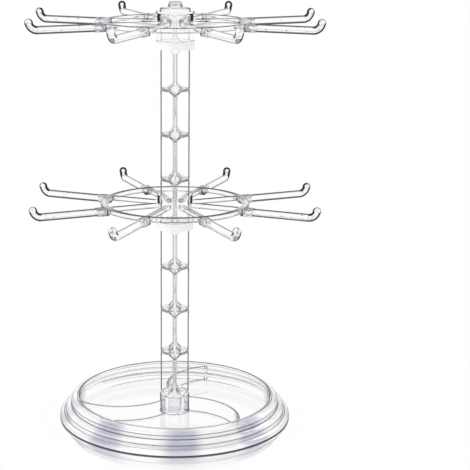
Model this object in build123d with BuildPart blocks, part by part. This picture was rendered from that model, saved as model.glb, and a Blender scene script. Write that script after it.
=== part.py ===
"""Rotating jewelry stand in clear plastic.

A dish-shaped base with three curved dividers, a finned column in stacked lengths, and two turning
tiers of eight hooks, each on a milky bearing collar. Millimetres, +Z up, the origin at the centre of
the base's underside, +Y towards the back.
"""

import os
from math import cos, hypot, radians, sin

from build123d import *

os.makedirs("parts", exist_ok=True)

# How near an edge lies to a surface that it counts as being on
hair = 0.01

# Base dish: a hollow rim in three rounded steps round a flat floor
rim_radius = 92.5
rim_steps = 3
rim_step_width = 4.6
rim_step_height = 5.8
rim_first_tread = 4.2
rim_nose_radius = 3.2
rim_lip_height = 1.6
rim_lip_width = 2.0
rim_wall = 2.0
rim_edge_radius = 0.6
floor_underside = 0.5
floor_thickness = 2.0

# Dividers: three thin curved walls, set like a pinwheel from the socket to the rim
divider_count = 3
divider_height = 12.3
divider_thickness = 1.5
divider_curve_radius = 47.0
divider_foot_angle = 226.5
divider_end_angle = 188.3
divider_root = 1.2

# Socket in the middle of the dish, which takes the foot of the column
socket_ledge = 0.5
socket_height = 14.4

# Column: round in outline, four fins with a disc between the bays
post_radius = 11.35
bay_pitch = 35.1
bays_per_post = 4
disc_thickness = 2.0
fin_thickness = 2.2
pocket_corner_cut = 3.7
pocket_floor_radius = 0.8
edge_land = 0.3

# Round plugs that join the lengths of the column
plug_radius = 5.0
plug_clearance = 0.1
plug_end_gap = 0.3
head_recess_depth = 2.0

# Head of each long post, inside the bearing collar
head_overhang = 1.55
head_thickness = 2.8

# Milky bearing collar, which sits over a head and carries a tier
collar_wall = 1.85
collar_seat_thickness = 3.1
collar_skirt_drop = 0.2
collar_lip_overhang = 0.3
collar_lip_height = 1.3
collar_fit = 0.1

# Turning tier: hub, spokes, ring and the socket blocks for the hooks
hook_count = 8
first_hook_angle = 22.5
hub_wall = 2.05
hub_height = 20.8
hub_clearance = 0.3
hub_edge = 0.4
spoke_width = 4.6
ring_outer_radius = 58.0
ring_width = 5.0
ring_height = 3.7
ring_edge_radius = 0.8
block_cheek = 0.45
block_sole = 0.1
block_reach = 7.0
block_edge_radius = 1.0
bar_height_on_hub = 9.0

# Hook: a round bar with a peg at its root and an upturned ball tip
bar_radius = 3.05
peg_radius = 2.1
peg_clearance = 0.05
peg_depth = 7.5
bar_length = 43.9
bend_radius = 6.6
bend_angle = 80.0
tip_bulge = 0.15

# Cap on the short top post, which keeps the upper tier on
cap_gap = 0.3
cap_overhang = 1.15
cap_flange_thickness = 1.2
cap_tread = 3.25
cap_step_height = 1.5
cap_crown_rise = 1.8
knob_base_radius = 5.6
knob_taper = 1.0
knob_height = 4.1
knob_edge_radius = 1.6

# Radii that follow from the sizes above
rim_inner_radius = rim_radius - rim_steps * rim_step_width - rim_lip_width
socket_radius = post_radius + socket_ledge
pocket_mouth_radius = (min(fin_thickness, disc_thickness) - edge_land) / 2
head_radius = post_radius + head_overhang
collar_radius = head_radius + collar_fit + collar_wall
hub_bore_radius = post_radius + hub_clearance
hub_radius = hub_bore_radius + hub_wall
ring_inner_radius = ring_outer_radius - ring_width
block_end_radius = ring_outer_radius + block_reach
bend_start_radius = block_end_radius + bar_length
cap_flange_radius = hub_radius + cap_overhang
cap_step_radius = cap_flange_radius - cap_tread

# Heights that follow from the sizes above
floor_top = floor_underside + floor_thickness
rim_top = rim_first_tread + (rim_steps - 1) * rim_step_height + rim_lip_height
lower_post_foot = floor_top + socket_height
post_length = bays_per_post * bay_pitch
lower_head_top = lower_post_foot + post_length
upper_head_top = lower_head_top + post_length
lower_hub_foot = lower_head_top + collar_seat_thickness
upper_hub_foot = upper_head_top + collar_seat_thickness
top_post_length = collar_seat_thickness + hub_height + cap_gap
cap_foot = upper_head_top + top_post_length
base_plug_length = socket_height - plug_end_gap
head_plug_length = head_recess_depth - plug_end_gap


def radial_plane(angle, height):
    """A plane square to the radius at this angle: its x runs round the axis and its y runs up."""
    a = radians(angle)
    return Plane(origin=(0, 0, height), x_dir=(-sin(a), cos(a), 0), z_dir=(cos(a), sin(a), 0))


def step_corners(inset):
    """Corners of the stepped flank from its foot up, moved inwards and down by the inset."""
    corners = [(rim_radius - inset, 0)]
    for step in range(rim_steps):
        tread = rim_first_tread + step * rim_step_height - inset
        corners.append((rim_radius - step * rim_step_width - inset, tread))
        corners.append((rim_radius - (step + 1) * rim_step_width - inset, tread))
    return corners


def polar_point(radius, angle):
    """The point at this radius and angle in degrees."""
    return (radius * cos(radians(angle)), radius * sin(radians(angle)))


# Base dish
with BuildPart() as base_dish:
    with BuildSketch(Plane.XZ):
        flank = step_corners(0)
        lip_radius = flank[-1][0]
        outline = [*flank, (lip_radius, rim_top), (rim_inner_radius, rim_top), (rim_inner_radius, 0)]
        corner_radii = [0, *[rim_nose_radius, 0] * rim_steps, rim_edge_radius, rim_edge_radius, 0]
        with BuildLine():
            FilletPolyline(*outline, radius=corner_radii, close=True)
        make_face()
        hollow = step_corners(rim_wall)[:-1]
        hollow_radius = rim_inner_radius + rim_wall
        with BuildLine():
            Polyline(*hollow, (hollow_radius, hollow[-1][1]), (hollow_radius, 0), close=True)
        make_face(mode=Mode.SUBTRACT)
    revolve(axis=Axis.Z)
    with BuildSketch(Plane.XY.offset(floor_underside)):
        Circle(rim_inner_radius + rim_wall / 2)
    extrude(amount=floor_thickness)
    with BuildSketch(Plane.XY.offset(floor_top)):
        Circle(socket_radius)
        Circle(plug_radius + plug_clearance, mode=Mode.SUBTRACT)
    extrude(amount=socket_height)
    divider_foot = polar_point(socket_radius - divider_root, divider_foot_angle)
    divider_end = polar_point(rim_inner_radius + divider_root, divider_end_angle)
    for turn in range(divider_count):
        with BuildSketch(Plane.XY.offset(floor_top).rotated((0, 0, turn * 360 / divider_count))):
            with BuildLine():
                RadiusArc(divider_foot, divider_end, divider_curve_radius)
            trace(line_width=divider_thickness)
        extrude(amount=divider_height)
base_dish.part.label = "base_dish"
export_step(base_dish.part, "parts/base_dish.step")


# Column
def bay_pockets(height):
    """The two pockets in the front of a bay: each ends at the front fin, a side fin and two discs."""
    reach = post_radius
    across = (fin_thickness + reach) / 2
    with BuildPart() as pockets:
        with BuildSketch(Plane.XZ.offset(fin_thickness / 2)) as front_view:
            with Locations((-across, height / 2), (across, height / 2)):
                Rectangle(reach, height)
            corners_at_fin = front_view.vertices().filter_by(lambda corner: abs(corner.X) < fin_thickness)
            chamfer(corners_at_fin, length=pocket_corner_cut)
        extrude(amount=reach)
        floors = pockets.faces().sort_by(Axis.Y)[-2:]
        fillet(floors.edges(), radius=pocket_floor_radius)
    return pockets.part


def is_pocket_mouth(edge):
    """Whether an edge of the bare column lies on its round outside and bounds a pocket."""
    middle = edge @ 0.5
    on_outside = abs(hypot(middle.X, middle.Y) - post_radius) < hair
    return on_outside and not edge.is_closed


full_pockets = bay_pockets(bay_pitch - disc_thickness)
headed_pockets = bay_pockets(bay_pitch - disc_thickness - head_thickness)
top_pockets = bay_pockets(top_post_length - disc_thickness - head_thickness)


def make_post(name, foot_height, length, bays, top_radius, plug_length):
    """A length of column on its foot: fins and discs, a head with a recess, and a plug below."""
    with BuildPart() as post:
        with BuildSketch(Plane.XY.offset(foot_height)):
            Circle(post_radius)
        extrude(amount=length)
        for bay, pockets in enumerate(bays):
            with Locations(Plane.XY.offset(foot_height + disc_thickness + bay * bay_pitch)):
                with PolarLocations(0, 2):
                    add(pockets, mode=Mode.SUBTRACT)
        fillet(post.edges().filter_by(is_pocket_mouth), radius=pocket_mouth_radius)
        if top_radius > post_radius:
            with BuildSketch(Plane.XY.offset(foot_height + length - head_thickness)):
                Circle(top_radius)
            extrude(amount=head_thickness)
        with BuildSketch(Plane.XY.offset(foot_height + length - head_recess_depth)):
            Circle(plug_radius + plug_clearance)
        extrude(amount=head_recess_depth, mode=Mode.SUBTRACT)
        with BuildSketch(Plane.XY.offset(foot_height - plug_length)):
            Circle(plug_radius)
        extrude(amount=plug_length)
    post.part.label = name
    export_step(post.part, f"parts/{name}.step")


long_bays = [full_pockets] * (bays_per_post - 1) + [headed_pockets]
make_post("lower_post", lower_post_foot, post_length, long_bays, head_radius, base_plug_length)
make_post("upper_post", lower_head_top, post_length, long_bays, head_radius, head_plug_length)
make_post("top_post", upper_head_top, top_post_length, [top_pockets], post_radius, head_plug_length)


# Bearing collars
def make_collar(name, head_top):
    """A milky ring with a counterbore over the head, a bore round the next post and a lip at its top."""
    foot = head_top - head_thickness - collar_skirt_drop
    top = head_top + collar_seat_thickness
    with BuildPart() as collar:
        with BuildSketch(Plane.XY.offset(foot)):
            Circle(collar_radius)
        extrude(amount=top - foot)
        with BuildSketch(Plane.XY.offset(top - collar_lip_height)):
            Circle(collar_radius + collar_lip_overhang)
        extrude(amount=collar_lip_height)
        with BuildSketch(Plane.XY.offset(foot)):
            Circle(head_radius + collar_fit)
        extrude(amount=head_top - foot, mode=Mode.SUBTRACT)
        with BuildSketch(Plane.XY.offset(head_top)):
            Circle(post_radius + collar_fit)
        extrude(amount=collar_seat_thickness, mode=Mode.SUBTRACT)
    collar.part.label = name
    export_step(collar.part, f"parts/{name}.step")


make_collar("lower_collar", lower_head_top)
make_collar("upper_collar", upper_head_top)


# Turning tiers
def hook_angles():
    """The directions of the hooks of a tier, in degrees from +X."""
    return [first_hook_angle + turn * 360 / hook_count for turn in range(hook_count)]


def make_tier(name, hub_foot):
    """Hub, spokes, ring and socket blocks in one moulding, all level with the tops of the bars."""
    bar_middle = hub_foot + bar_height_on_hub + bar_radius
    ring_top = bar_middle + bar_radius
    ring_middle = ring_top - ring_height / 2
    block_width = 2 * (bar_radius + block_cheek)
    block_height = 2 * bar_radius + block_sole
    block_middle = ring_top - block_height / 2
    spoke_end = (ring_inner_radius + ring_outer_radius) / 2
    with BuildPart() as tier:
        with BuildSketch(Plane.XY.offset(hub_foot)):
            Circle(hub_radius)
        extrude(amount=hub_height)
        chamfer(tier.edges().filter_by(GeomType.CIRCLE), length=hub_edge)
        with BuildSketch(Plane.XZ):
            with Locations((spoke_end, ring_middle)):
                RectangleRounded(ring_width, ring_height, ring_edge_radius)
        revolve(axis=Axis.Z)
        for angle in hook_angles():
            with BuildSketch(radial_plane(angle, ring_middle)):
                RectangleRounded(spoke_width, ring_height, ring_edge_radius)
            extrude(amount=spoke_end)
            with BuildSketch(radial_plane(angle, block_middle).offset(spoke_end)):
                RectangleRounded(block_width, block_height, block_edge_radius)
            extrude(amount=block_end_radius - spoke_end)
            with BuildSketch(radial_plane(angle, bar_middle).offset(block_end_radius)):
                Circle(peg_radius + peg_clearance)
            extrude(amount=-peg_depth - peg_clearance, mode=Mode.SUBTRACT)
        with BuildSketch(Plane.XY.offset(hub_foot)):
            Circle(hub_bore_radius)
        extrude(amount=hub_height, mode=Mode.SUBTRACT)
    tier.part.label = name
    export_step(tier.part, f"parts/{name}.step")


def make_hook(name, hub_foot, angle):
    """A bar that runs straight out, bends up and ends in a ball, with a peg in its socket block."""
    root = radial_plane(angle, hub_foot + bar_height_on_hub + bar_radius)
    outward = root.z_dir
    side_view = Plane(origin=root.origin, x_dir=outward, z_dir=-root.x_dir)
    with BuildPart() as hook:
        with BuildLine(side_view) as centre_line:
            bar = Line((block_end_radius, 0), (bend_start_radius, 0))
            JernArc(bar @ 1, bar % 1, bend_radius, bend_angle)
        with BuildSketch(root.offset(block_end_radius)):
            Circle(bar_radius)
        sweep(path=centre_line.wire())
        with Locations(centre_line.wire() @ 1):
            Sphere(bar_radius + tip_bulge)
        with BuildSketch(root.offset(block_end_radius)):
            Circle(peg_radius)
        extrude(amount=-peg_depth)
    hook.part.label = name
    export_step(hook.part, f"parts/{name}.step")


for level, hub_foot in (("lower", lower_hub_foot), ("upper", upper_hub_foot)):
    make_tier(f"{level}_tier_ring", hub_foot)
    for number, angle in enumerate(hook_angles(), start=1):
        make_hook(f"{level}_hook_{number}", hub_foot, angle)


# Cap
with BuildPart() as top_cap:
    with BuildSketch(Plane.XZ) as cap_section:
        flange_top = cap_foot + cap_flange_thickness
        step_top = flange_top + cap_step_height
        knob_foot = step_top + cap_crown_rise
        knob_top = knob_foot + knob_height
        crown_centre = (knob_base_radius, step_top)
        crown_width = cap_step_radius - knob_base_radius
        with BuildLine():
            Polyline(
                (0, cap_foot),
                (cap_flange_radius, cap_foot),
                (cap_flange_radius, flange_top),
                (cap_step_radius, flange_top),
                (cap_step_radius, step_top),
            )
            EllipticalCenterArc(crown_centre, crown_width, cap_crown_rise, start_angle=0, arc_size=90)
            Polyline(
                (knob_base_radius, knob_foot),
                (knob_base_radius - knob_taper, knob_top),
                (0, knob_top),
                (0, cap_foot),
            )
        make_face()
        knob_edge = cap_section.vertices().group_by(Axis.Y)[-1].sort_by(Axis.X)[-1]
        fillet(knob_edge, radius=knob_edge_radius)
    revolve(axis=Axis.Z)
    with BuildSketch(Plane.XY.offset(cap_foot - head_plug_length)):
        Circle(plug_radius)
    extrude(amount=head_plug_length)
top_cap.part.label = "top_cap"
export_step(top_cap.part, "parts/top_cap.step")
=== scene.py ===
"""Looks of the rotating jewelry stand: clear plastic on a white studio floor, with milky bearing collars."""
from math import radians

import bpy
from mathutils import Matrix, Vector


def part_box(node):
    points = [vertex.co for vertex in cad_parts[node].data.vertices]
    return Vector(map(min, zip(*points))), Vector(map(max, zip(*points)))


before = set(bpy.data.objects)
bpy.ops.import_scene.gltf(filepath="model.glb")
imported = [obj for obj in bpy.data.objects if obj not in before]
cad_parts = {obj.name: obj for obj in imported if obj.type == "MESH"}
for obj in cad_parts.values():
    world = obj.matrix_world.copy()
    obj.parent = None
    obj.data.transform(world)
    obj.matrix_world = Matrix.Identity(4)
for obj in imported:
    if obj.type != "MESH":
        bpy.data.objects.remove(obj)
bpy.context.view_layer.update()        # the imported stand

# The photograph's camera, in metres, degrees and pixels
frame_pixels = 470
axis_pixel_x = 174.9
horizon_pixel_y = 239.06
focal_pixels = 1442.3
camera_back = 1.0988
camera_height = 0.4256
camera_pitch = 14.32
camera_roll = 0.095
sensor_width = 36.0

# Stage
floor_radius = 12.0
floor_white = 0.98
floor_colour = (0.85, 0.85, 0.86, 1)
floor_roughness = 0.25
floor_mirror = (0.9, 0.15)
floor_mirror_roughness = 0.09
lamp_size = 1.0
lamp_target = (0, 0, 0.15)
lamps = {"key_box": ((-1.2, -1.4, 1.8), 13.0), "back_box": ((1.4, 1.2, 1.6), 6.0)}

# Rises of a ray over which the studio's dark belt begins and ends
belt_start = (0.50, 0.60)
belt_end = (0.85, 0.95)

# Most bounces of light: enough for it to find its way out of the clear plastic
clear_bounces = 64
diffuse_bounces = 16
transparent_bounces = 24

# Colours of the plastics, of their painted shade and of the studio's belt
white = (1, 1, 1, 1)
clear_colour = (0.995, 0.995, 1.0, 1)
block_tint = (0.91, 0.91, 0.96, 1)
# Colour of the painted shade on the socket's sides
socket_shade_colour = (0.42, 0.42, 0.52, 1)
milky_colour = (0.98, 0.98, 0.995, 1)
milky_bright = (0.99, 0.99, 1.0, 1)
satin_colour = (0.99, 0.99, 1.0, 1)
# Colour of the streaks of painted shade in the rim's satin
streak_shade_colour = (0.53, 0.53, 0.64, 1)
# Near-black of the painted shade along the edges and lines of the clear plastic
painted_shade_colour = (0.015, 0.015, 0.02, 1)
belt_colour = (0.4, 0.4, 0.43, 1)

# How the plastics bend light, and how wavy and rough they are
clear_ior = 1.49
milky_ior = 1.45
wave_depth = 0.0003
plastic_waviness = 0.25
dish_waviness = 0.05
clear_roughness = (0.005, 0.03)
satin_roughness = 0.2
milky_roughness = (0.3, 0.42)
foot_frost = 0.25

# The noise: its scales per metre, its detail, and the spans of it that are used
wave_scale = 110.0
polish_scale = 700.0
speck_scale = 200.0
bend_swirl_scale = 300.0
block_swirl_scale = 240.0
rim_cloud_scale = 30.0
milky_cloud_scale = 160.0
milky_polish_scale = 900.0
polish_detail = 2.0
milky_cloud_detail = 3.0
polish_span = (0.35, 0.75)
milky_span = (0.3, 0.7)
speck_span = (0.10, 0.15)
block_swirl_span = (0.40, 0.55)
swirl_middle = 0.5
bend_stroke_width = (0.004, 0.02)
block_stroke_width = (0.003, 0.015)

# How far each piece is drawn in from its neighbours, and how close vertices lie that are one
hair = 0.00002
same_place = 0.000001

# Sizes of the stand, in metres
post_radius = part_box("top_post")[1][1]
bay_pitch = 0.0351
bays_in_post = 4
first_disc_middle = 0.0179
node_ring_radius = 0.0022
diamond_reach = 0.0040
ring_inside = 0.053
ring_outside = 0.058
block_end = 0.065
hub_radius = 0.0137
knob_radius = 0.0056
counterbore_radius = 0.0131
ring_foot_on_hub = 0.0114
bar_axis_on_hub = 0.01205
bend_start = 0.1089
bend_radius = 0.0066
bend_rise = 0.0055
socket_radius = 0.01185
socket_top = 0.0169
rim_inside = 0.0767
rim_foot = 0.0925
floor_top = 0.0025
divider_top = 0.0148
divider_middle = 0.0087

# How far a line of painted shade round the dish reaches, and the share of that at which it begins to fade
line_reach = 0.0006
foot_reach = 0.0010
fade_start = 0.4

# Lines of painted shade round the rim at its foot, corners, noses and lip: radius, height, strength and reach
rim_lines = [
    (rim_foot, 0.0002, 0.95, foot_reach), (0.0889, 0.0042, 0.70, line_reach),
    (0.0879, 0.0070, 0.65, line_reach), (0.0833, 0.0101, 0.75, line_reach),
    (0.0833, 0.0132, 0.65, line_reach), (0.0786, 0.0173, 0.60, line_reach),
    (0.0770, 0.0174, 0.95, line_reach),
]

# Streaks of painted shade in the rim's satin: how many, how far round they are turned, and how far the cloud
# bends them
streak_count = 9.0
streak_turn = 3.1
streak_bend = 1.2
streak_span = (-0.3, 0.95)

# Spans of radius over which a part of a piece begins or ends, in metres
knob_start = (knob_radius - 0.0008, knob_radius - 0.0004)
knob_end = (knob_radius, knob_radius + 0.0003)
bend_span = (bend_start, bend_start + 0.001)
block_end_span = (block_end - 0.0005, block_end + 0.0005)
post_rim = (post_radius - 0.0012, post_radius - 0.0008)
post_wide_rim = (post_radius - 0.0035, post_radius - 0.0010)
post_nose = (post_radius - 0.0017, post_radius - 0.0012)
spoke_start = (hub_radius, hub_radius + 0.005)
lower_edge_start = (hub_radius + 0.002, hub_radius + 0.006)
ring_start = (ring_inside - 0.0005, ring_inside)
ring_end = (ring_outside - 0.0005, ring_outside + 0.0005)
hub_end = (hub_radius + 0.0002, hub_radius + 0.001)
hub_wall_start = (hub_radius - 0.0008, hub_radius - 0.0004)
floor_end = (rim_inside - 0.001, rim_inside)
socket_start = (0.009, 0.010)
socket_end = (socket_radius, socket_radius + 0.001)
divider_end_start = (rim_inside - 0.0008, rim_inside - 0.0004)
divider_end_end = (rim_inside, rim_inside + 0.0003)
flank_start = (rim_inside + 0.0015, rim_inside + 0.0022)
collar_bore_end = (post_radius + 0.0005, post_radius + 0.0012)
counterbore_end = (counterbore_radius, counterbore_radius + 0.0003)
mirror_start = (rim_foot - 0.004, rim_foot)
mirror_fade = (rim_foot, rim_foot + 0.022)

# Spans of height, in metres: the ball's from the bar's axis, the ring's from its foot, the hub's from its top
ball_start = (bend_rise - 0.0004, bend_rise + 0.0006)
lower_edge_end = (0.0004, 0.0008)
hub_wall_foot = (-0.0095, -0.0075)
ink_above_socket = (socket_top - 0.0004, socket_top)
frost_below_mouth = (socket_top - 0.0006, socket_top - 0.0001)
crest_start = (divider_top - 0.0007, divider_top - 0.0003)
above_floor = (floor_top - 0.0001, floor_top)
divider_foot_end = (floor_top + 0.0003, floor_top + 0.0008)
from_divider_middle = (0.003, 0.005)

# Spans of distance from a line, a disc, a joint, a fin or the stand's middle, in metres
node_ring_width = (0.0001, 0.0005)
diamond_width = (0.0003, 0.0007)
diamond_below_disc = (-0.0008, 0.0004)
nose_half_height = (0.0016, 0.0020)
nose_beside_fin = (0.0022, 0.0032)
nose_in_front = (-0.003, 0.001)
joint_half_height = (0.003, 0.004)
streak_in_front = (-0.06, -0.03)

# The least that a hook's bend lies below its middle, and what keeps a root from being of less than 0
least_below = 0.0002
just_over_one = 1.0001

# Spans of facing, which is 0 where a surface faces the eye and 1 where it is seen edge-on
cap_side = (0.45, 0.7)
knob_side = (0.3, 0.55)
tube_side = (0.12, 0.32)
ball_side = (0.35, 0.6)
bar_side = (0.2, 0.42)
fin_side = (0.6, 0.9)
disc_side = (0.5, 0.8)
lower_hub_side = (0.45, 0.58)
upper_hub_side = (0.36, 0.5)
hub_foot_side = (0.8, 0.95)
dish_side = (0.6, 0.85)
socket_side = (0.15, 0.45)
socket_dark_side = (0.5, 0.7)

# Spans of broadside, which is 1 where a bar is seen from its side and 0 where it points at the eye
tube_broadside = (0.2, 0.6)
spoke_broadside = (0.35, 0.85)
ring_broadside = (0.3, 0.7)

# Spans of rise and level, how far a surface faces up, and of outness, how far it faces away from the axis
cap_level = (0.9, 0.99)
disc_level = (0.93, 0.99)
dish_level = (0.85, 0.97)
fin_level = (0.6, 0.9)
divider_level = (0.3, 0.6)
under_hook = (-0.6, 0.0)
under_disc = (-0.65, -0.2)
over_disc = (0.3, 0.8)
upper_flank = (0.5, 0.7)
outer_flank = (0.0, 0.2)
hook_toward_axis = (-0.35, -0.05)
inside_bend = (0.3, 0.8)
fin_outness = (0.80, 0.985)
fin_shade_outness = (0.3, 0.7)
spoke_outness = (0.5, 0.85)
divider_outness = (0.88, 0.97)

# Span of the way a hook points, from those on the photograph's side to the rest
front_hooks = (-0.85, -0.2)

# How much thicker a hook's lines of painted shade are: inside its bend, toward the axis, underneath, and from
# front to rest
thicker_inside_bend = 1.6
thicker_toward_axis = 1.3
thicker_under_hook = 0.5
thickness_in_front = (0.55, 1.0)

# How dark the painted shade and the marks are, where a pair is what it goes from and to over its span, or
# outside and inside
cap_shade_on_level = (1.0, 0.15)
cap_shade_seen = (0.85, 0.04)
knob_shade = 0.9
hook_shade = 0.85
hook_shade_inside = 0.3
hook_shade_inside_front = (0.15, 1.0)
hook_shade_more_on_bend = 0.14
speck_ink = 0.7
bend_stroke_ink = 0.6
bar_shade_broadside = (0.2, 1.0)
fin_shade = (0.62, 0.08)
fin_shade_edge_on = (1.0, 0.35)
under_disc_shade = 0.92
under_disc_shade_outward = (0.3, 1.0)
over_disc_shade = 0.25
disc_shade = 0.5
disc_shade_on_level = (1.0, 0.2)
node_ring_shade = 0.15
diamond_shade = (0.85, 0.2)
nose_shade = 0.5
discs_shade_seen = (1.0, 0.6)
post_shade = 1.0
top_post_shade = 0.4
spoke_shade_outward = (0.2, 1.0)
spoke_shade_broadside = (0.25, 1.0)
block_side_shade = 0.7
block_stroke_ink = 0.7
lower_edge_shade = 0.8
hub_foot_shade = 0.25
hub_wall_shade = 0.97
hub_shade_seen = (1.0, 0.3)
tier_shade_seen = (0.8, 0.35)
dish_shade = 0.4
crest_shade = 0.5
divider_foot_shade = 0.6
divider_end_shade = 0.8
divider_end_shade_off_middle = (0.15, 1.0)
rim_shade_seen = (1.0, 0.5)
socket_mouth_shade = 0.3
socket_base_shade = 0.4
socket_side_shade = 0.75

# Shares of satin on the rim, of its streaks of painted shade from front to back, and of light through and in
# the collars
rim_satin_share = 0.7
streak_share = (1.0, 0.45)
milky_through = (0.6, 0.06)
milky_glow = 0.85


def make_camera():
    """A camera at the photograph's viewing angle, shifted as its framing is."""
    data = bpy.data.cameras.new("camera")
    data.sensor_width = sensor_width
    data.lens = focal_pixels / frame_pixels * sensor_width
    data.shift_x = (frame_pixels / 2 - axis_pixel_x) / frame_pixels
    data.shift_y = (horizon_pixel_y - frame_pixels / 2) / frame_pixels
    data.clip_end = 3 * floor_radius
    camera = bpy.data.objects.new("camera", data)
    bpy.context.scene.collection.objects.link(camera)
    turn = Matrix.Rotation(radians(90 - camera_pitch), 4, "X") @ Matrix.Rotation(radians(camera_roll), 4, "Z")
    camera.matrix_world = Matrix.Translation((0, -camera_back, camera_height)) @ turn
    bpy.context.scene.camera = camera


def make_lamps():
    """Soft boxes in front on the left and behind on the right, at a plain level."""
    for name, (spot, power) in lamps.items():
        data = bpy.data.lights.new(name, "AREA")
        data.size = lamp_size
        data.energy = power
        lamp = bpy.data.objects.new(name, data)
        bpy.context.scene.collection.objects.link(lamp)
        lamp.location = spot
        lamp.rotation_euler = (Vector(lamp_target) - Vector(spot)).to_track_quat("-Z", "Y").to_euler()


# Node helpers
def put(tree, socket, value):
    """Sets an input, or links it where the value is another node's output."""
    if isinstance(value, bpy.types.NodeSocket):
        tree.links.new(value, socket)
    else:
        socket.default_value = value


def add_node(tree, kind, **inputs):
    """A shader node with its inputs set by name."""
    made = tree.nodes.new(kind)
    for name, value in inputs.items():
        put(tree, made.inputs[name.replace("_", " ")], value)
    return made


def maths(tree, operation, *values):
    """The result of one sum on numbers or outputs."""
    made = tree.nodes.new("ShaderNodeMath")
    made.operation = operation
    for socket, value in zip(made.inputs, values):
        put(tree, socket, value)
    return made.outputs[0]


def fold(tree, operation, values):
    """One sum run through several outputs or numbers in turn."""
    result = values[0]
    for value in values[1:]:
        result = maths(tree, operation, result, value)
    return result


def product(tree, *values):
    """The product of several outputs or numbers."""
    return fold(tree, "MULTIPLY", values)


def total(tree, *values):
    """The sum of several outputs or numbers."""
    return fold(tree, "ADD", values)


def greatest(tree, *values):
    """The greatest of several outputs or numbers."""
    return fold(tree, "MAXIMUM", values)


def rest_of(tree, value):
    """What is left of 1."""
    return maths(tree, "SUBTRACT", 1.0, value)


def unsigned(tree, value):
    """A value without its sign."""
    return maths(tree, "ABSOLUTE", value)


def away(tree, value, middle):
    """How far a value lies from this middle, to either side."""
    return unsigned(tree, maths(tree, "SUBTRACT", value, middle))


def distance(tree, first, second):
    """The length of the way that goes this far along one axis and this far along another."""
    return maths(tree, "SQRT", total(tree, product(tree, first, first), product(tree, second, second)))


def from_nearest(tree, value, first, pitch):
    """How far a value lies from the nearest in a row of places, with its sign."""
    wrapped = maths(tree, "WRAP", value, first + pitch / 2, first - pitch / 2)
    return maths(tree, "SUBTRACT", wrapped, first)


def parts_of(tree, vector):
    """The three parts of a vector."""
    return tuple(add_node(tree, "ShaderNodeSeparateXYZ", Vector=vector).outputs)


def dot(tree, first, second):
    """How far two directions agree, from -1 to 1."""
    made = tree.nodes.new("ShaderNodeVectorMath")
    made.operation = "DOT_PRODUCT"
    tree.links.new(first, made.inputs[0])
    tree.links.new(second, made.inputs[1])
    return made.outputs["Value"]


def unit(tree, x, y, z):
    """A vector of length 1 in the direction of these parts."""
    parts = add_node(tree, "ShaderNodeCombineXYZ", X=x, Y=y, Z=z)
    made = tree.nodes.new("ShaderNodeVectorMath")
    made.operation = "NORMALIZE"
    tree.links.new(parts.outputs[0], made.inputs[0])
    return made.outputs["Vector"]


def between(tree, value, span, first=0.0, last=1.0):
    """Goes smoothly from first to last while the value goes through the span."""
    low, high = span
    made = tree.nodes.new("ShaderNodeMapRange")
    made.interpolation_type = "SMOOTHSTEP"
    for name, number in (("From Min", low), ("From Max", high), ("To Min", first), ("To Max", last)):
        made.inputs[name].default_value = number
    put(tree, made.inputs["Value"], value)
    return made.outputs["Result"]


def fade(tree, value, span, first=1.0):
    """Goes smoothly from first to 0 while the value goes through the span."""
    return between(tree, value, span, first, 0.0)


def moved(span, start):
    """A span that is counted from this start, as it lies in the piece."""
    return tuple(start + step for step in span)


def blend(tree, share, first, last):
    """The first value where the share is 0 and the last where it is 1."""
    return total(tree, product(tree, last, share), product(tree, first, rest_of(tree, share)))


def mix_colours(tree, share, first, last):
    """The first colour where the share is 0 and the last where it is 1."""
    made = tree.nodes.new("ShaderNodeMix")
    made.data_type = "RGBA"
    put(tree, made.inputs[0], share)
    put(tree, made.inputs[6], first)
    put(tree, made.inputs[7], last)
    return made.outputs[2]


def mix_shaders(tree, share, first, last):
    """The first shader where the share is 0 and the last where it is 1."""
    made = tree.nodes.new("ShaderNodeMixShader")
    put(tree, made.inputs["Fac"], share)
    tree.links.new(first, made.inputs[1])
    tree.links.new(last, made.inputs[2])
    return made.outputs[0]


def own_place(tree):
    """The point being shaded, in its piece's own frame."""
    return tree.nodes.new("ShaderNodeTexCoord").outputs["Object"]


def noise(tree, scale, detail=1.0):
    """Smooth noise over a piece, about 0.5."""
    made = add_node(tree, "ShaderNodeTexNoise", Vector=own_place(tree), Scale=scale, Detail=detail)
    return made.outputs["Fac"]


def facing_of(tree, **direction):
    """0 where the surface, or this direction, faces the eye, and 1 where it is seen edge-on."""
    return add_node(tree, "ShaderNodeLayerWeight", Blend=0.5, **direction).outputs["Facing"]


def new_material(name):
    """An empty material and its tree."""
    material = bpy.data.materials.new(name)
    material.use_nodes = True
    material.node_tree.nodes.clear()
    return material, material.node_tree


def close(tree, shader):
    """Ends a material with its shader."""
    output = tree.nodes.new("ShaderNodeOutputMaterial")
    tree.links.new(shader, output.inputs["Surface"])


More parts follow.
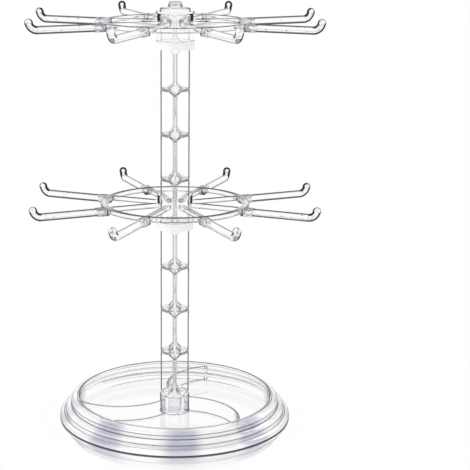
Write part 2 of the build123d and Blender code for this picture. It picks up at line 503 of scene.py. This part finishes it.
# What the point being shaded is like
class Spot:
    """The place and the lie of the surface at the point being shaded."""

    def __init__(self, tree):
        geometry = tree.nodes.new("ShaderNodeNewGeometry")
        self.tree = tree
        self.x, self.y, self.height = parts_of(tree, own_place(tree))
        self.radius = distance(tree, self.x, self.y)
        world_x, world_y, _ = parts_of(tree, geometry.outputs["Position"])
        self.outward = unit(tree, world_x, world_y, 0.0)
        self.round_axis = unit(tree, product(tree, world_y, -1.0), world_x, 0.0)
        self.normal = geometry.outputs["Normal"]
        self.rise = parts_of(tree, self.normal)[2]
        self.level = unsigned(tree, self.rise)
        self.outness = dot(tree, self.normal, self.outward)
        self.out_or_in = unsigned(tree, self.outness)
        self.entered = geometry.outputs["Backfacing"]
        self.from_outside = rest_of(tree, self.entered)
        self.facing = facing_of(tree)

    def broadside(self, run):
        """1 where a bar that runs this way is seen from its side, and 0 where it points at the eye."""
        tree = self.tree
        along = rest_of(tree, facing_of(tree, Normal=run))
        return maths(tree, "SQRT", maths(tree, "SUBTRACT", just_over_one, product(tree, along, along)))

    def facing_across(self, run):
        """Like facing, for a bar that runs this way: 0 along its middle and 1 along its two sides."""
        tree = self.tree
        return rest_of(tree, maths(tree, "DIVIDE", rest_of(tree, self.facing), self.broadside(run)))

    def seen(self, outside, inside):
        """One number where the surface is seen from outside, and another from inside the plastic."""
        return between(self.tree, self.entered, (0.0, 1.0), outside, inside)


# Clear plastic
def plastic(tree, shade_and_marks, tint_and_shade=clear_colour, frost=0.0, satin=None, satin_tint_and_shade=satin_colour,
            waviness=plastic_waviness):
    """Clear moulded plastic, faintly wavy; satin where asked for, and mixed with a near-black diffuse for
    painted shade and marks.
    """
    bump = add_node(tree, "ShaderNodeBump", Height=noise(tree, wave_scale), Strength=waviness,
                    Distance=wave_depth)
    roughness = between(tree, noise(tree, polish_scale, polish_detail), polish_span, *clear_roughness)
    roughness = total(tree, roughness, frost)
    shader = add_node(tree, "ShaderNodeBsdfPrincipled", Base_Color=tint_and_shade, Normal=bump.outputs["Normal"],
                      Roughness=roughness, IOR=clear_ior, Transmission_Weight=1.0).outputs[0]
    if satin is not None:
        milk = add_node(tree, "ShaderNodeBsdfPrincipled", Base_Color=satin_tint_and_shade, Roughness=satin_roughness,
                        IOR=clear_ior)
        shader = mix_shaders(tree, satin, shader, milk.outputs[0])
    # A near-black diffuse: the painted shade and the dark marks
    shade = add_node(tree, "ShaderNodeBsdfDiffuse", Color=painted_shade_colour)
    return mix_shaders(tree, shade_and_marks, shader, shade.outputs[0])


def cap_plastic():
    """Clear plastic of the cap, with painted shade where it turns away and down the sides of its knob."""
    material, tree = new_material("cap_plastic")
    spot = Spot(tree)
    turned = product(tree, between(tree, spot.facing, cap_side),
                     between(tree, spot.level, cap_level, *cap_shade_on_level), spot.seen(*cap_shade_seen))
    knob = product(tree, between(tree, spot.facing, knob_side), between(tree, spot.radius, knob_start),
                   fade(tree, spot.radius, knob_end), spot.from_outside, knob_shade)
    close(tree, plastic(tree, greatest(tree, turned, knob)))
    return material


# Hooks
class HookSpot(Spot):
    """What the point is like on a hook whose bar lies at this height."""

    def __init__(self, tree, bar_axis):
        super().__init__(tree)
        out_x, out_y, _ = parts_of(tree, self.outward)
        beyond = greatest(tree, maths(tree, "SUBTRACT", self.radius, bend_start), 0.0)
        below = greatest(tree, maths(tree, "SUBTRACT", bar_axis + bend_radius, self.height), least_below)
        back_x = product(tree, out_x, beyond, -1.0)
        back_y = product(tree, out_y, beyond, -1.0)
        self.run = unit(tree, product(tree, out_x, below), product(tree, out_y, below), beyond)
        self.inward = unit(tree, back_x, back_y, below)
        self.on_bend = between(tree, self.radius, bend_span)
        self.on_ball = between(tree, self.height, moved(ball_start, bar_axis))
        self.backward = out_y


def hook_lines(spot):
    """Painted shade along both sides of a hook's bar and bend and round its ball, thinner on the hooks in
    front.
    """
    tree = spot.tree
    inner = product(tree, between(tree, dot(tree, spot.normal, spot.inward), inside_bend), spot.on_bend)
    toward_axis = fade(tree, spot.outness, hook_toward_axis, thicker_toward_axis)
    thickness = total(tree, product(tree, inner, thicker_inside_bend), 1.0,
                      product(tree, spot.on_bend, toward_axis),
                      fade(tree, spot.rise, under_hook, thicker_under_hook))
    thickness = product(tree, thickness, between(tree, spot.backward, front_hooks, *thickness_in_front))
    tube = product(tree, between(tree, product(tree, spot.facing_across(spot.run), thickness), tube_side),
                   between(tree, spot.broadside(spot.run), tube_broadside, *bar_shade_broadside))
    ball = between(tree, product(tree, spot.facing, thickness), ball_side)
    return blend(tree, spot.on_ball, tube, ball)


def hook_marks(spot):
    """Small dark marks: specks along the bar, left in the moulding, and strokes in the bend, set by noise."""
    tree = spot.tree
    cells = add_node(tree, "ShaderNodeTexVoronoi", Vector=own_place(tree), Scale=speck_scale)
    specks = fade(tree, cells.outputs["Distance"], speck_span)
    strokes = fade(tree, away(tree, noise(tree, bend_swirl_scale), swirl_middle), bend_stroke_width)
    return greatest(tree, product(tree, specks, rest_of(tree, spot.on_bend), speck_ink),
                    product(tree, strokes, spot.on_bend, bend_stroke_ink))


def hook_plastic(name, bar_axis):
    """Clear plastic of a hook, with painted shade and marks, fainter where it is seen from inside and none
    within its block.
    """
    material, tree = new_material(name)
    spot = HookSpot(tree, bar_axis)
    inside = product(tree, spot.entered, hook_shade_inside,
                     between(tree, spot.backward, front_hooks, *hook_shade_inside_front))
    seen_first = total(tree, product(tree, spot.from_outside, hook_shade), inside)
    strength = product(tree, seen_first, total(tree, product(tree, spot.on_bend, hook_shade_more_on_bend), 1.0))
    beyond_block = between(tree, spot.radius, block_end_span)
    shade_and_marks = product(tree, greatest(tree, hook_lines(spot), hook_marks(spot)), strength, beyond_block)
    close(tree, plastic(tree, shade_and_marks))
    return material


# Column
def fin_lines(spot):
    """Painted shade along the outer edges of the fins."""
    tree = spot.tree
    return product(tree, between(tree, spot.radius, post_rim), fade(tree, spot.out_or_in, fin_outness),
                   fade(tree, spot.level, fin_level),
                   between(tree, spot.out_or_in, fin_shade_outness, *fin_shade),
                   between(tree, spot.facing, fin_side, *fin_shade_edge_on))


def disc_shades(spot):
    """Painted shade on the discs where they face down or up, and where they are seen nearly edge-on."""
    tree = spot.tree
    under = product(tree, between(tree, spot.radius, post_wide_rim, *under_disc_shade_outward),
                    fade(tree, spot.rise, under_disc), spot.from_outside, under_disc_shade)
    over = product(tree, between(tree, spot.radius, post_rim), between(tree, spot.rise, over_disc),
                   over_disc_shade)
    turned = product(tree, between(tree, spot.facing, disc_side),
                     between(tree, spot.level, disc_level, *disc_shade_on_level), disc_shade)
    return greatest(tree, under, over, turned)


def disc_lines(spot):
    """Thin lines of painted shade where fins cross a disc: a ring, the web's diamond, and a stroke round the
    disc's front.
    """
    tree = spot.tree
    rim = between(tree, spot.radius, post_rim)
    from_disc = from_nearest(tree, spot.height, first_disc_middle, bay_pitch)
    from_fin = maths(tree, "MINIMUM", unsigned(tree, spot.x), unsigned(tree, spot.y))
    ring = away(tree, distance(tree, spot.x, from_disc), node_ring_radius)
    ring = product(tree, fade(tree, ring, node_ring_width), rim, node_ring_shade)
    diamond = away(tree, total(tree, from_fin, unsigned(tree, from_disc)), diamond_reach)
    diamond = product(tree, fade(tree, diamond, diamond_width), rim,
                      between(tree, from_disc, diamond_below_disc, *diamond_shade))
    nose = product(tree, between(tree, spot.radius, post_nose),
                   fade(tree, unsigned(tree, from_disc), nose_half_height),
                   fade(tree, spot.y, nose_in_front, nose_shade), between(tree, from_fin, nose_beside_fin),
                   spot.from_outside)
    return greatest(tree, ring, diamond, nose)


def column_plastic(name, strength):
    """Clear plastic of the column, with painted shade on its fins and discs, and frosted below the socket's
    mouth.
    """
    material, tree = new_material(name)
    spot = Spot(tree)
    from_joint = unsigned(tree, from_nearest(tree, spot.height, socket_top, bays_in_post * bay_pitch))
    discs = product(tree, greatest(tree, disc_shades(spot), disc_lines(spot)),
                    between(tree, from_joint, joint_half_height), spot.seen(*discs_shade_seen))
    shade_and_marks = product(tree, greatest(tree, fin_lines(spot), discs),
                  between(tree, spot.height, ink_above_socket), strength)
    frost = fade(tree, spot.height, frost_below_mouth, foot_frost)
    close(tree, plastic(tree, shade_and_marks, frost=frost))
    return material


# Tiers
class TierSpot(Spot):
    """What the point is like on a tier: how far it belongs to the hub, the ring or a block."""

    def __init__(self, tree):
        super().__init__(tree)
        self.on_hub = fade(tree, self.radius, hub_end)
        self.on_ring = between(tree, self.radius, ring_start)
        self.on_block = between(tree, self.radius, ring_end)


def tier_bars(spot, ring_foot):
    """Painted shade along the sides of the spokes, ring and blocks, and at the foot of the spokes and ring.
    """
    tree = spot.tree
    spoke = product(tree, between(tree, spot.facing_across(spot.outward), bar_side),
                    fade(tree, spot.out_or_in, spoke_outness),
                    between(tree, spot.radius, spoke_start, *spoke_shade_outward),
                    between(tree, spot.broadside(spot.outward), spoke_broadside, *spoke_shade_broadside))
    ring = product(tree, between(tree, spot.facing_across(spot.round_axis), bar_side),
                   between(tree, spot.broadside(spot.round_axis), ring_broadside, *bar_shade_broadside),
                   rest_of(tree, spot.on_block))
    outer_bar = total(tree, ring, product(tree, spoke, spot.on_block, block_side_shade))
    lower_edge = product(tree, fade(tree, spot.height, moved(lower_edge_end, ring_foot), lower_edge_shade),
                         between(tree, spot.radius, lower_edge_start), rest_of(tree, spot.on_block))
    return greatest(tree, blend(tree, spot.on_ring, spoke, outer_bar), lower_edge)


def tier_plastic(name, box, hub_side):
    """Clear plastic of a tier: painted shade along the sides of its bars, wavy blocks with dark strokes, and
    painted shade at the sides of its hub.
    """
    (_, _, hub_foot), (_, _, hub_top) = box
    material, tree = new_material(name)
    spot = TierSpot(tree)
    wall = product(tree, between(tree, spot.facing, hub_side),
                   between(tree, spot.height, moved(hub_wall_foot, hub_top)),
                   between(tree, spot.radius, hub_wall_start))
    low = product(tree, between(tree, spot.facing, hub_foot_side), hub_foot_shade)
    hub = product(tree, greatest(tree, wall, low), spot.seen(*hub_shade_seen))
    swirl = noise(tree, block_swirl_scale)
    strokes = product(tree, fade(tree, away(tree, swirl, swirl_middle), block_stroke_width), spot.on_block,
                      block_stroke_ink)
    shade_and_marks = blend(tree, spot.on_hub, tier_bars(spot, hub_foot + ring_foot_on_hub), hub)
    shade_and_marks = product(tree, greatest(tree, shade_and_marks, strokes), spot.seen(*tier_shade_seen))
    shade_and_marks = greatest(tree, shade_and_marks, product(tree, wall, spot.on_hub, spot.from_outside, hub_wall_shade))
    tinted = product(tree, spot.on_block, between(tree, swirl, block_swirl_span))
    close(tree, plastic(tree, shade_and_marks, mix_colours(tree, tinted, clear_colour, block_tint)))
    return material


# Dish
def line_round(spot, radius, height, strength, reach=line_reach):
    """Painted shade on the line round the dish through this point of its section."""
    tree = spot.tree
    across = maths(tree, "SUBTRACT", spot.radius, radius)
    up = maths(tree, "SUBTRACT", spot.height, height)
    return fade(tree, distance(tree, across, up), (fade_start * reach, reach), strength)


def divider_lines(spot):
    """Painted shade along the tops and feet of the dividers, and above and below on the ends that meet the
    rim.
    """
    tree = spot.tree
    on_divider = product(tree, fade(tree, spot.radius, floor_end), between(tree, spot.radius, socket_end))
    wall = fade(tree, spot.level, divider_level)
    crest = product(tree, between(tree, spot.height, crest_start), on_divider, crest_shade)
    foot = product(tree, fade(tree, spot.height, divider_foot_end, divider_foot_shade),
                   between(tree, spot.height, above_floor), wall, on_divider)
    off_middle = between(tree, away(tree, spot.height, divider_middle), from_divider_middle,
                         *divider_end_shade_off_middle)
    end = product(tree, between(tree, spot.radius, divider_end_start, 0.0, divider_end_shade),
                  fade(tree, spot.radius, divider_end_end), wall,
                  fade(tree, spot.out_or_in, divider_outness), off_middle)
    return greatest(tree, crest, foot, end)


def rim_satin(spot):
    """How satin the outer side of the rim is, and its tint, with streaks of painted shade round it that are
    strongest in front.
    """
    tree = spot.tree
    outer = greatest(tree, between(tree, spot.outness, outer_flank), between(tree, spot.rise, upper_flank))
    satin = product(tree, between(tree, spot.radius, flank_start), spot.from_outside, outer, rim_satin_share)
    angle = maths(tree, "ARCTAN2", spot.x, spot.y)
    cloud = noise(tree, rim_cloud_scale)
    bent = total(tree, product(tree, angle, streak_count), product(tree, cloud, streak_bend), streak_turn)
    shade_streak = product(tree, between(tree, maths(tree, "COSINE", bent), streak_span),
                     between(tree, spot.y, streak_in_front, *streak_share))
    return satin, mix_colours(tree, shade_streak, satin_colour, streak_shade_colour)


def dish_plastic():
    """Clear plastic of the dish: a satin rim with fine lines and streaks of painted shade, dividers lined
    with painted shade, and painted shade on the socket's sides.
    """
    material, tree = new_material("dish_plastic")
    spot = Spot(tree)
    turned = product(tree, between(tree, spot.facing, dish_side), fade(tree, spot.level, dish_level),
                     dish_shade)
    rim = product(tree, greatest(tree, *(line_round(spot, *line) for line in rim_lines)),
                  spot.seen(*rim_shade_seen))
    mouth = line_round(spot, socket_radius, socket_top, socket_mouth_shade)
    base = line_round(spot, socket_radius, floor_top, socket_base_shade)
    socket_shade_share = product(tree, fade(tree, spot.radius, socket_end), between(tree, spot.radius, socket_start),
                        between(tree, spot.facing, socket_side))
    socket = product(tree, socket_shade_share, between(tree, spot.facing, socket_dark_side), socket_side_shade)
    shade_and_marks = greatest(tree, turned, divider_lines(spot), rim, mouth, base, socket)
    # The socket's sides get the painted shade colour, strongest where seen edge-on
    tint_and_shade = mix_colours(tree, socket_shade_share, clear_colour, socket_shade_colour)
    satin, satin_tint_and_shade = rim_satin(spot)
    close(tree, plastic(tree, shade_and_marks, tint_and_shade, satin=satin, satin_tint_and_shade=satin_tint_and_shade, waviness=dish_waviness))
    return material


# Collars
def milky_plastic():
    """White satin plastic of the collars, with a glow inside in place of the light that comes through."""
    material, tree = new_material("milky_plastic")
    cloud = between(tree, noise(tree, milky_cloud_scale, milky_cloud_detail), milky_span)
    roughness = between(tree, noise(tree, milky_polish_scale, polish_detail), milky_span, *milky_roughness)
    skin = add_node(tree, "ShaderNodeBsdfPrincipled", Roughness=roughness, IOR=milky_ior,
                    Base_Color=mix_colours(tree, cloud, milky_colour, milky_bright))
    body = add_node(tree, "ShaderNodeBsdfTranslucent", Color=milky_bright)
    glow = add_node(tree, "ShaderNodeEmission", Color=milky_bright, Strength=1.0)
    radius = Spot(tree).radius
    through = between(tree, radius, collar_bore_end, *milky_through)
    shader = mix_shaders(tree, through, skin.outputs[0], body.outputs[0])
    close(tree, mix_shaders(tree, fade(tree, radius, counterbore_end, milky_glow), shader, glow.outputs[0]))
    return material


# Surroundings
def make_world():
    """White for the eye and for plain light; a studio with a dark belt for what shines or bends light."""
    world = bpy.data.worlds.new("studio")
    bpy.context.scene.world = world
    world.use_nodes = True
    tree = world.node_tree
    tree.nodes.clear()
    rise = parts_of(tree, tree.nodes.new("ShaderNodeTexCoord").outputs["Generated"])[2]
    belt = product(tree, between(tree, rise, belt_start), fade(tree, rise, belt_end))
    colour = mix_colours(tree, belt, white, belt_colour)
    studio = add_node(tree, "ShaderNodeBackground", Color=colour, Strength=1.0)
    plain = add_node(tree, "ShaderNodeBackground", Color=white, Strength=1.0)
    rays = tree.nodes.new("ShaderNodeLightPath")
    share = greatest(tree, rays.outputs["Is Camera Ray"], rays.outputs["Is Diffuse Ray"])
    output = tree.nodes.new("ShaderNodeOutputWorld")
    tree.links.new(mix_shaders(tree, share, studio.outputs[0], plain.outputs[0]), output.inputs["Surface"])


def floor_finish():
    """White where it is seen, with a mirror image that fades away from the dish's foot."""
    material, tree = new_material("studio_floor")
    body = add_node(tree, "ShaderNodeBsdfPrincipled", Base_Color=floor_colour, Roughness=floor_roughness)
    lit = add_node(tree, "ShaderNodeEmission", Color=white, Strength=1.0)
    gloss = add_node(tree, "ShaderNodeBsdfGlossy", Color=white, Roughness=floor_mirror_roughness)
    radius = Spot(tree).radius
    mirror = product(tree, between(tree, radius, mirror_start),
                     between(tree, radius, mirror_fade, *floor_mirror))
    shine = mix_shaders(tree, mirror, lit.outputs[0], gloss.outputs[0])
    rays = tree.nodes.new("ShaderNodeLightPath")
    seen = greatest(tree, rays.outputs["Is Camera Ray"], rays.outputs["Is Transmission Ray"],
                    rays.outputs["Is Glossy Ray"])
    close(tree, mix_shaders(tree, product(tree, seen, floor_white), body.outputs[0], shine))
    return material


def make_floor():
    """A wide flat floor under the stand."""
    mesh = bpy.data.meshes.new("studio_floor")
    r = floor_radius
    mesh.from_pydata([(-r, -r, 0), (r, -r, 0), (r, r, 0), (-r, r, 0)], [], [(0, 1, 2, 3)])
    floor = bpy.data.objects.new("studio_floor", mesh)
    bpy.context.scene.collection.objects.link(floor)
    floor.data.materials.append(floor_finish())


def draw_in(piece):
    """Draws a piece in by a hair, as one closed skin, so that no two pieces share a face."""
    weld = piece.modifiers.new("one_skin", "WELD")
    weld.merge_threshold = same_place
    shrink = piece.modifiers.new("seat_gap", "DISPLACE")
    shrink.mid_level = 0.0
    shrink.strength = -hair
    piece.modifiers.new("crisp_edges", "EDGE_SPLIT")


def paint():
    """Each node of the frame gets its finish."""
    lower_box, upper_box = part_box("lower_tier_ring"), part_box("upper_tier_ring")
    finishes = {
        "collar": milky_plastic(),
        "dish": dish_plastic(),
        "top_post": column_plastic("top_column_plastic", top_post_shade),
        "post": column_plastic("column_plastic", post_shade),
        "cap": cap_plastic(),
        "lower_tier_ring": tier_plastic("lower_tier_plastic", lower_box, lower_hub_side),
        "upper_tier_ring": tier_plastic("upper_tier_plastic", upper_box, upper_hub_side),
        "lower_hook": hook_plastic("lower_hook_plastic", lower_box[0][2] + bar_axis_on_hub),
        "upper_hook": hook_plastic("upper_hook_plastic", upper_box[0][2] + bar_axis_on_hub),
    }
    for name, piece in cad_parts.items():
        kind = next(word for word in finishes if word in name)
        piece.data.materials.clear()
        piece.data.materials.append(finishes[kind])
        draw_in(piece)


def set_light():
    """Plain tones, and as many bounces as clear plastic needs."""
    scene = bpy.context.scene
    scene.view_settings.view_transform = "Standard"
    scene.cycles.max_bounces = clear_bounces
    scene.cycles.transmission_bounces = clear_bounces
    scene.cycles.glossy_bounces = clear_bounces
    scene.cycles.diffuse_bounces = diffuse_bounces
    scene.cycles.transparent_max_bounces = transparent_bounces


make_camera()
make_world()
make_lamps()
make_floor()
paint()
set_light()
